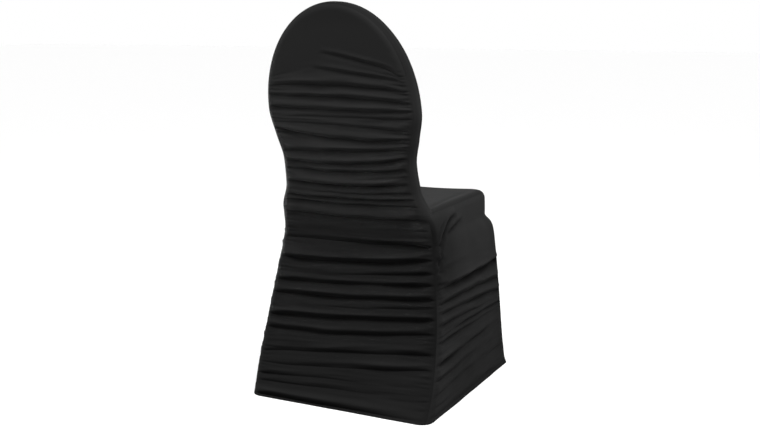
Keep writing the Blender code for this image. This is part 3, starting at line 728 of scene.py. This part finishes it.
def sidePoint(kind, value, z):
    # A point of the sitter's left side at a place round it: rear corner, flat side or front corner
    edge = form["seatEdge"]
    over = min(max(0.0, z - seatWallTop), edge * math.sin(seamTurn)) / edge
    inset = edge * (1 - math.sqrt(1 - over * over))
    corner = backAt("corner", z)
    half = backAt("half", z)
    start = backAt("rear", z) - corner
    low = min(z, seatWallTop)
    frontCorner = frontAt("corner", low)
    frontHalf = frontAt("half", low)
    frontStart = frontAt("front", low) + frontCorner
    if kind == "rear":
        return half - corner + corner * math.sin(value), start + corner * math.cos(value), z
    if kind == "front":
        reach = frontCorner - inset
        return frontHalf - frontCorner + reach * math.cos(value), frontStart - reach * math.sin(value), z
    inset *= seamTurned(value) / seamTurn
    return half + (frontHalf - inset - half) * value, start + (frontStart - start) * value, z


def sidePanel(side, look, name):
    panel = Panel()
    folds = [sideFolds[0]]
    for k, row in enumerate(sideFolds[1:], 1):
        shift = look["sway"] * math.sin(look["swayRhythm"] * k)
        factor = 1 + look["swayDeep"] * look["sway"] * math.sin(look["swayDeepRhythm"] * k)
        folds.append(fold(*[height + shift for height in row[:3]], *[deep * factor for deep in row[3:]]))
    lines, depths = clothLines(folds, (form["seatSeam"],) * 3)
    rows = foldRows(lines[:-1], look)
    columns = [("rear", seamTurn * (1 + i / look["rearCells"])) for i in range(look["rearCells"])]
    columns += [("side", i / look["sideCells"]) for i in range(look["sideCells"])]
    columns += [("front", seamTurn * i / look["frontCells"]) for i in range(look["frontCells"] + 1)]
    grid = []
    for j in range(len(rows) + look["topRows"]):
        spot, left, middle, right = rows[min(j, len(rows) - 1)]
        rise = max(0, j - len(rows) + 1) / look["topRows"]
        line = []
        for kind, value in columns:
            share = {"rear": 1.0, "front": -1.0}.get(kind, 1 - 2 * value)
            top = form["seatSeam"]
            if kind == "front":
                top = seatWallTop + form["seatEdge"] * math.sin(cornerTilt(value))
            z = quadratic(left, middle, right, share)
            z += wobble(spot, share, look, len(lines) - 2)
            z += (top - z) * rise
            x, y, z = sidePoint(kind, value, z)
            corner = backAt("corner", z)
            frontCorner = frontAt("corner", min(z, seatWallTop))
            keep, inset, arc = 1.0, look["rearLength"] + look["sideLength"] * value, y
            if kind == "rear":
                inset = corner * (value - seamTurn)
                keep = 1 - ease((quarter - value) / look["foldsEnd"])
                arc = backAt("rear", z) - corner + corner * (quarter - value)
            if kind == "front":
                inset = look["rearLength"] + look["sideLength"]
                keep = 1 - ease(value / look["frontFoldsEnd"])
                arc = sideFrontY - frontCorner * value
            line.append(panel.add((side * x, y, z), (arc * side, z), spot + rise, share, inset, keep))
        grid.append(line)
    panel.strips(grid)
    panel.facing = (grid[len(grid) // 2][len(columns) // 2], (side, 0, 0))
    sink = foldSink(panel, lines, depths, sideShortFolds, look)
    return sewCloth(panel, sink, name, look, cornerPaintedShade(panel, look))


# Front panel: one plain length for the band, the inside of the back, the seat and the skirt's front
frontLook = {
    **clothLook,
    # Tone by height, partly the cloth's stretch and partly painted light and shade on the band, seat and
    # skirt
    "paintedLightAndTightness": ((0.0, 0.40), (0.40, 0.70), (0.46, 0.95), (0.50, 0.75), (0.60, 1.0), (0.72, 1.0),
                  (0.80, 0.45), (0.94, 0.18)),
    # The first darkens the seat's outer strip as painted shade; the others place that strip and the crease
    # inside it
    "seatEdgeShade": 0.55, "edgeFrom": 0.158, "edgeTo": 0.178, "edgeCrease": 0.0020, "edgeReach": 0.014,
    "cells": 44, "insideRows": 120, "insideTurns": 7, "flatRings": 3, "rearTurns": 4,
    "seatRows": 64, "edgeTilts": 8, "skirtStep": 0.0042,
    "edgeWander": 0.010, "edgeRhythm": 9.0, "edgeRear": 0.05, "edgeFront": 0.19, "edgeFade": 0.06,
    "hemLine": 0.011, "hemDeep": 0.0013, "hemReach": 0.005, "creaseCurve": 1.5, "seed": 57,
    "insideRise": 1.15, "swellCurve": 0.8,
    "notchTop": 0.438, "notchStep": 0.0035, "notchRows": 18,      # closer rows where the front bulges
    "slow": 0.0006, "slowRhythm": 9.0,
    "pull": 0.0010, "pullAcross": 5.0, "pullAlong": 26.0, "pullShift": 5.0, "pullTop": 0.40, "pullFade": 0.06,
    "seatWeave": 0.46, "edgeWeave": 0.02, "skirtWeave": 0.23,     # carry the knit on from piece to piece
}


def seatDip(x):
    # How far the stretched top sags towards the middle
    return form["seatDip"] * max(0.0, 1 - (x / (seatHalf - form["seatEdge"])) ** 2)


def seatHeight(x, y):
    # The seat's surface: rounded down to the seam at its edges, flat inside them but for the dip
    edge = form["seatEdge"]
    share = min(max((seatBackY - y) / (seatBackY - sideFrontY), 0.0), 1.0)
    seamX = bandHalf + (seatHalf - seamInset - bandHalf) * share
    side = seamX + seamInset - abs(x)
    front = y - seatFront
    inset = min(side, front)
    if side < seatCorner and front < seatCorner:
        inset = seatCorner - math.hypot(seatCorner - side, seatCorner - front)
    inset = max(inset, 0.0)
    rise = edge
    if inset < edge:
        rise = math.sqrt(edge ** 2 - (edge - inset) ** 2)
    return seatWallTop + rise - seatDip(x)


def restOnSeat(panel, index):
    # Slide a point of the backrest down its slope to the seat's surface
    x, y, z = panel.points[index]
    y -= form["forward"]
    behind = backAt("rear", z) - y
    z = seatHeight(x, y)
    panel.points[index] = (x, backAt("rear", z) - behind + form["forward"], z)


def frontColumns(cells, cornerCells):
    # Columns across seat and skirt: side, share of the rounded corner, share of the straight front
    straight = [1 - 2 * i / cells for i in range(cells + 1)]
    columns = [(1, 1 - i / cornerCells, 1.0) for i in range(cornerCells)]
    columns += [(1 if place >= 0 else -1, 0.0, abs(place)) for place in straight]
    return columns + [(-1, (i + 1) / cornerCells, 1.0) for i in range(cornerCells)]


def seatEdgePoint(column, tilt, endTurn):
    # A point where the seat turns down, on the straight front or round a corner
    side, share, place = column
    turn = quarter + (endTurn - quarter) * share
    lean = tilt + (cornerTilt(endTurn) - tilt) * share
    reach = seatCorner - form["seatEdge"] * (1 - math.cos(lean))
    x = (seatHalf - seatCorner) * place + reach * math.cos(turn)
    y = seatFront + seatCorner - reach * math.sin(turn)
    return side * x, y, seatWallTop + form["seatEdge"] * math.sin(lean) - seatDip(x)


def skirtPoint(column, z):
    side, share, place = column
    corner = frontAt("corner", z)
    turn = quarter - (quarter - seamTurn) * share
    x = (frontAt("half", z) - corner) * place + corner * math.cos(turn)
    return side * x, frontAt("front", z) + corner - corner * math.sin(turn), z


def frontPanel(look):
    panel = Panel()
    seatTop = seatWallTop + form["seatEdge"]
    rows = []
    for i in range(look["insideRows"] + 1):
        t = i / look["insideRows"]
        ends = seatTop + (cornerZ - seatTop) * t
        middle = seatTop + (topZ - seatTop) * t ** look["insideRise"]
        rows.append((float(i), ends, max(middle, ends), ends))

    def place(x, z):
        up = min(max((z - seatTop) / (topZ - seatTop), 0.0), 1.0)
        across = min(abs(x) / (form["domeHalf"] - form["backEdge"]), 1.0)
        swell = form["insideSwell"] * math.sin(math.pi * up) ** look["swellCurve"] * (1 - across ** 2)
        return x, backAt("rear", z) - form["backDepth"] - swell, z

    grid, border = faceGrid(panel, rows, look["cells"], place, len(rows))
    turned = look["insideTurns"]
    stations = [insideStation(quarter * (i + 1) / turned) for i in range(turned)]
    stations += flatStations(look["flatRings"])
    stations += [rearStation(quarter - (quarter - seamTurn) * i / look["rearTurns"])
                 for i in range(look["rearTurns"] + 1)]
    rings = borderRings(panel, border, stations)

    # The lowest row follows the seat, and the band ends on the seam at the top of the sides
    for index in grid[0][1:-1]:
        restOnSeat(panel, index)
    z = form["seatSeam"]
    for end, side in ((0, 1), (-1, -1)):
        for ring in rings[:turned]:
            restOnSeat(panel, ring[end])
        for (turn, back, _), ring in zip(stations[turned - 1:], rings[turned:]):
            x = bandHalf - bandCorner + bandCorner * math.sin(turn)
            y = backAt("rear", z) - back(bandCorner) + form["forward"]
            panel.points[ring[end]] = (side * x, y, z)
    crease = [rings[n][0] for n in range(turned, 0, -1)] + grid[0]
    crease += [rings[n][-1] for n in range(1, turned + 1)]

    # Seat, its rounded edge and the front of the skirt
    columns = frontColumns(look["cells"], turned)
    notch = [look["notchTop"] - look["notchStep"] * i for i in range(look["notchRows"])]
    count = round(notch[-1] / look["skirtStep"])
    levels = notch + [notch[-1] * (1 - (i + 1) / count) for i in range(count)]
    lines = [crease]
    tops = []
    for i in range(look["edgeTilts"] + 1):
        lean = i / look["edgeTilts"]
        endTurn = seamTurn * math.sin(quarter * lean)
        edge = [seatEdgePoint(column, quarter * (1 - lean), endTurn) for column in columns]
        shift = look["seatWeave"] - look["edgeWeave"] * lean
        tops.append([panel.add(point, (point[0], point[1] + shift)) for point in edge])
    for j in range(1, look["seatRows"]):
        line = []
        for start, finish in zip(crease, tops[0]):
            ahead = j / look["seatRows"]
            x = panel.points[start][0] * (1 - ahead) + panel.points[finish][0] * ahead
            y = panel.points[start][1] * (1 - ahead) + panel.points[finish][1] * ahead - form["forward"]
            line.append(panel.add((x, y, seatHeight(x, y)), (x, y + look["seatWeave"])))
        lines.append(line)
    lines += tops
    for z in levels:
        line = []
        for column in columns:
            x, y, z = skirtPoint(column, z)
            line.append(panel.add((x, y, z), (x, z - look["skirtWeave"])))
        lines.append(line)
    panel.strips(lines)
    panel.facing = (lines[look["seatRows"] // 2][len(columns) // 2], (0, 0, 1))
    sink, paintedLightAndShade = frontSink(panel, look)
    return sewCloth(panel, sink, "frontCloth", look, paintedLightAndShade)


def flatStations(count):
    # Rings on the band between its two roundings, from the inside to the rear
    def station(share):
        def back(corner):
            return (form["backDepth"] - corner) * (1 - share) + corner * share
        return quarter, back, lambda corner: corner * quarter
    return [station((i + 1) / (count + 1)) for i in range(count)]


def frontSink(panel, look):
    # Light tension: the hem's stitched line, a crease inside the seat's edges and a slow unevenness; also
    # painted shade on the seat's outer strip where it turns down
    sinks = []
    paintedLightAndShade = []
    slow, curve = look["slowRhythm"], look["creaseCurve"]
    for x, y, z in panel.points:
        y -= form["forward"]
        swell = noise.noise(Vector((x * slow, y * slow, z * slow + look["seed"])))
        spot = (x * look["pullAcross"], z * look["pullAlong"], look["seed"] + look["pullShift"])
        pull = noise.noise(Vector(spot))
        sink = look["slow"] * swell + look["pull"] * pull * ease((look["pullTop"] - z) / look["pullFade"])
        sink += look["hemDeep"] * float(valley(z - look["hemLine"], look["hemReach"], curve))
        # Painted shade: the tone darkens over the seat's outer strip, where it turns down to the sides
        shadedEdge = 0.0
        if z > seatWallTop and y < seatBackY:
            shadedEdge = ease((abs(x) - look["edgeFrom"]) / (look["edgeTo"] - look["edgeFrom"]))
            line = look["edgeFrom"] + look["edgeWander"] * math.sin(look["edgeRhythm"] * y)
            fade = ease((seatBackY - y) / look["edgeRear"]) * ease((y + look["edgeFront"]) / look["edgeFade"])
            sink += look["edgeCrease"] * float(valley(abs(x) - line, look["edgeReach"], curve)) * fade
        paintedLightAndShade.append(look["seatEdgeShade"] * shadedEdge)
        sinks.append(sink)
    return np.array(sinks), paintedLightAndShade


# Finish of the cloth
def linear(hexColor):
    # An sRGB hex value as linear colour
    parts = [int(hexColor[i:i + 2], 16) / 255 for i in (1, 3, 5)]
    return [c / 12.92 if c <= 0.04045 else ((c + 0.055) / 1.055) ** 2.4 for c in parts] + [1.0]


def addNode(tree, kind, values=None, links=None, **settings):
    # Add a node with its settings, socket values and incoming links
    node = tree.nodes.new(kind)
    for key, value in settings.items():
        setattr(node, key, value)
    for key, value in (values or {}).items():
        node.inputs[key].default_value = value
    for key, (source, socket) in (links or {}).items():
        tree.links.new(source.outputs[socket], node.inputs[key])
    return node


knitLook = {
    "waleSpacing": 0.003557,    # real ones are 0.5 mm apart, drawn coarse so that they show
    "courseSpacing": 0.002766,
    "distortion": 0.6,
    "cloud": {"Scale": 14.0, "Detail": 4.0, "Roughness": 0.6},       # patches about 7 cm across
    "cloudTint": 0.12,
    "fibre": {"Scale": 900.0, "Detail": 2.0, "Roughness": 0.7},      # loose fibres about 1 mm long
    "fuzz": 0.35,
    "slackAndShadedBlack": "#050505",       # dyed polyester, deep black where the cloth is slack and where shade is painted
    "stretched": "#1f1f1f",     # greyer where it is stretched and the stitches open, and where light is painted
    "roughness": (0.70, 0.86),
    "sheen": 0.06,
    "sheenRoughness": 0.45,
    "sheenTint": "#9b9b9b",
    "specular": 0.14,
    "bump": 0.25,
    "bumpDistance": 0.00012,
}


def jerseyKnit(name, look):
    # Polyester and elastane jersey, circular knitted and dyed black: matt, with a faint sheen
    material = bpy.data.materials.new(name)
    material.use_nodes = True
    tree = material.node_tree
    tree.nodes.clear()
    output = addNode(tree, "ShaderNodeOutputMaterial")
    weave = addNode(tree, "ShaderNodeUVMap", uv_map="weave")
    scale = (1 / look["waleSpacing"], 1 / look["courseSpacing"], 1)
    wales = addNode(tree, "ShaderNodeMapping", {"Scale": scale}, {"Vector": (weave, "UV")})
    band = {"Scale": math.pi / 10, "Distortion": look["distortion"], "Detail": 1.0}     # one band a stitch
    along = {"Vector": (wales, "Vector")}
    across = addNode(tree, "ShaderNodeTexWave", band, along, wave_type="BANDS", bands_direction="X")
    upward = addNode(tree, "ShaderNodeTexWave", band, along, wave_type="BANDS", bands_direction="Y")
    stitches = addNode(tree, "ShaderNodeMath", None,
                       {0: (across, "Fac"), 1: (upward, "Fac")}, operation="MULTIPLY")
    place = addNode(tree, "ShaderNodeTexCoord")
    where = {"Vector": (place, "Object")}
    cloudy = addNode(tree, "ShaderNodeTexNoise", look["cloud"], where)
    fibre = addNode(tree, "ShaderNodeTexNoise", look["fibre"], where)
    # Tone with painted light and shade, mixed between the two blacks
    stretch = addNode(tree, "ShaderNodeAttribute", attribute_name="stretch")
    uneven = addNode(tree, "ShaderNodeMapRange", {"To Min": -look["cloudTint"], "To Max": look["cloudTint"]},
                     {"Value": (cloudy, "Fac")})
    amount = addNode(tree, "ShaderNodeMath", None, {0: (stretch, "Fac"), 1: (uneven, "Result")},
                     operation="ADD", use_clamp=True)
    colour = addNode(tree, "ShaderNodeMix", None, {"Factor": (amount, "Value")}, data_type="RGBA")
    colour.inputs[6].default_value = linear(look["slackAndShadedBlack"])
    colour.inputs[7].default_value = linear(look["stretched"])
    smoothest, roughest = look["roughness"]
    rough = addNode(tree, "ShaderNodeMapRange", {"To Min": smoothest, "To Max": roughest},
                    {"Value": (cloudy, "Fac")})
    fuzz = addNode(tree, "ShaderNodeMath", {1: look["fuzz"]}, {0: (fibre, "Fac")}, operation="MULTIPLY")
    surface = addNode(tree, "ShaderNodeMath", None,
                      {0: (stitches, "Value"), 1: (fuzz, "Value")}, operation="ADD")
    bump = addNode(tree, "ShaderNodeBump", {"Strength": look["bump"], "Distance": look["bumpDistance"]},
                   {"Height": (surface, "Value")})
    cloth = addNode(tree, "ShaderNodeBsdfPrincipled",
                    {"Metallic": 0.0, "Specular IOR Level": look["specular"], "Sheen Weight": look["sheen"],
                     "Sheen Roughness": look["sheenRoughness"], "Sheen Tint": linear(look["sheenTint"])},
                    {"Base Color": (colour, 2), "Roughness": (rough, "Result"),
                     "Normal": (bump, "Normal")})
    tree.links.new(cloth.outputs["BSDF"], output.inputs["Surface"])
    return material


# Dress the frame
def dress(piece, node, material):
    piece.data.materials.clear()
    piece.data.materials.append(material)
    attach(piece, "root")
    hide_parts(node)


knit = jerseyKnit("black polyester elastane jersey", knitLook)
dress(backPanel(backLook), "back_panel", knit)
leftLook = dict(sideLook, sway=0.0)
rightLook = dict(sideLook, sway=0.004, seed=33)
dress(sidePanel(1, leftLook, "sideClothLeft"), "side_panel_left", knit)
dress(sidePanel(-1, rightLook, "sideClothRight"), "side_panel_right", knit)
dress(frontPanel(frontLook), "front_panel", knit)

# Studio: pale floor, soft lights and the camera behind the sitter's right shoulder
studio = {
    "floorSize": 60.0, "floorDrop": 0.0005, "floorColor": "#ffffff", "floorRoughness": 0.9,
    "lens": 50.37, "sensor": 36.0,
    "cameraPlace": (-1.1635, 2.3347, 0.900), "cameraTurn": (79.71, 0.0, 206.70),
    "skyStops": ((0.0, 0.20), (0.47, 0.22), (0.475, 1.0), (0.53, 1.0), (0.56, 0.42), (1.0, 0.50)),
    "sunFrom": (-0.33, 0.29, 0.90), "sunStrength": 1.9, "sunAngle": 24.0,
    "lights": (
        ("overhead", (-0.75, 0.95, 2.15), (0.0, 0.15, 0.75), 0.9, 180.0, 24.0),
        ("behind", (0.2, 2.3, 1.35), (0.0, 0.2, 0.80), 0.9, 180.0, 8.8),
        ("left rim", (2.0, 0.70, 0.70), (0.15, 0.2, 0.50), 0.8, 180.0, 14.0),
        ("waist", (2.0, 0.30, 0.52), (0.16, 0.19, 0.50), 0.3, 18.0, 0.5),
        ("right rim", (-1.9, -0.60, 0.80), (-0.19, 0.2, 0.65), 0.4, 180.0, 2.6),
    ),
}


def setStudio(look):
    bpy.ops.mesh.primitive_plane_add(size=look["floorSize"], location=(0, 0, -look["floorDrop"]))
    floor = bpy.context.active_object
    floor.name = "studioFloor"
    paper = bpy.data.materials.new("matt white paper")
    paper.use_nodes = True
    shader = paper.node_tree.nodes["Principled BSDF"]
    shader.inputs["Base Color"].default_value = linear(look["floorColor"])
    shader.inputs["Roughness"].default_value = look["floorRoughness"]
    floor.data.materials.append(paper)
    floor.visible_diffuse = False        # its bounce would fill the folds with light from below
    floor.visible_glossy = False
    world = bpy.data.worlds.new("studio")
    bpy.context.scene.world = world
    world.use_nodes = True
    tree = world.node_tree
    sky = addNode(tree, "ShaderNodeTexCoord")
    level = addNode(tree, "ShaderNodeSeparateXYZ", None, {"Vector": (sky, "Generated")})
    height = addNode(tree, "ShaderNodeMapRange", {"From Min": -1.0}, {"Value": (level, "Z")})
    ramp = addNode(tree, "ShaderNodeValToRGB", None, {"Fac": (height, "Result")})
    while len(ramp.color_ramp.elements) < len(look["skyStops"]):
        ramp.color_ramp.elements.new(0.5)
    for stop, (position, bright) in zip(ramp.color_ramp.elements, look["skyStops"]):
        stop.position = position
        stop.color = (bright, bright, bright, 1.0)
    tree.links.new(ramp.outputs["Color"], tree.nodes["Background"].inputs["Color"])
    sun = bpy.data.lights.new("sky panel", "SUN")
    sun.energy = look["sunStrength"]
    sun.angle = math.radians(look["sunAngle"])
    high = bpy.data.objects.new("sky panel", sun)
    high.rotation_euler = Vector(look["sunFrom"]).to_track_quat("Z", "Y").to_euler()
    bpy.context.scene.collection.objects.link(high)
    for name, spot, aim, size, spread, power in look["lights"]:
        light = bpy.data.lights.new(name, "AREA")
        light.size = size
        light.spread = math.radians(spread)
        light.energy = power
        lamp = bpy.data.objects.new(name, light)
        lamp.location = spot
        lamp.rotation_euler = (Vector(aim) - Vector(spot)).to_track_quat("-Z", "Y").to_euler()
        bpy.context.scene.collection.objects.link(lamp)
    lens = bpy.data.cameras.new("camera")
    lens.lens = look["lens"]
    lens.sensor_width = look["sensor"]
    camera = bpy.data.objects.new("camera", lens)
    camera.location = look["cameraPlace"]
    camera.rotation_euler = [math.radians(turn) for turn in look["cameraTurn"]]
    bpy.context.scene.collection.objects.link(camera)
    bpy.context.scene.camera = camera
    bpy.context.scene.view_settings.view_transform = "Standard"
    print("studio set")


setStudio(studio)
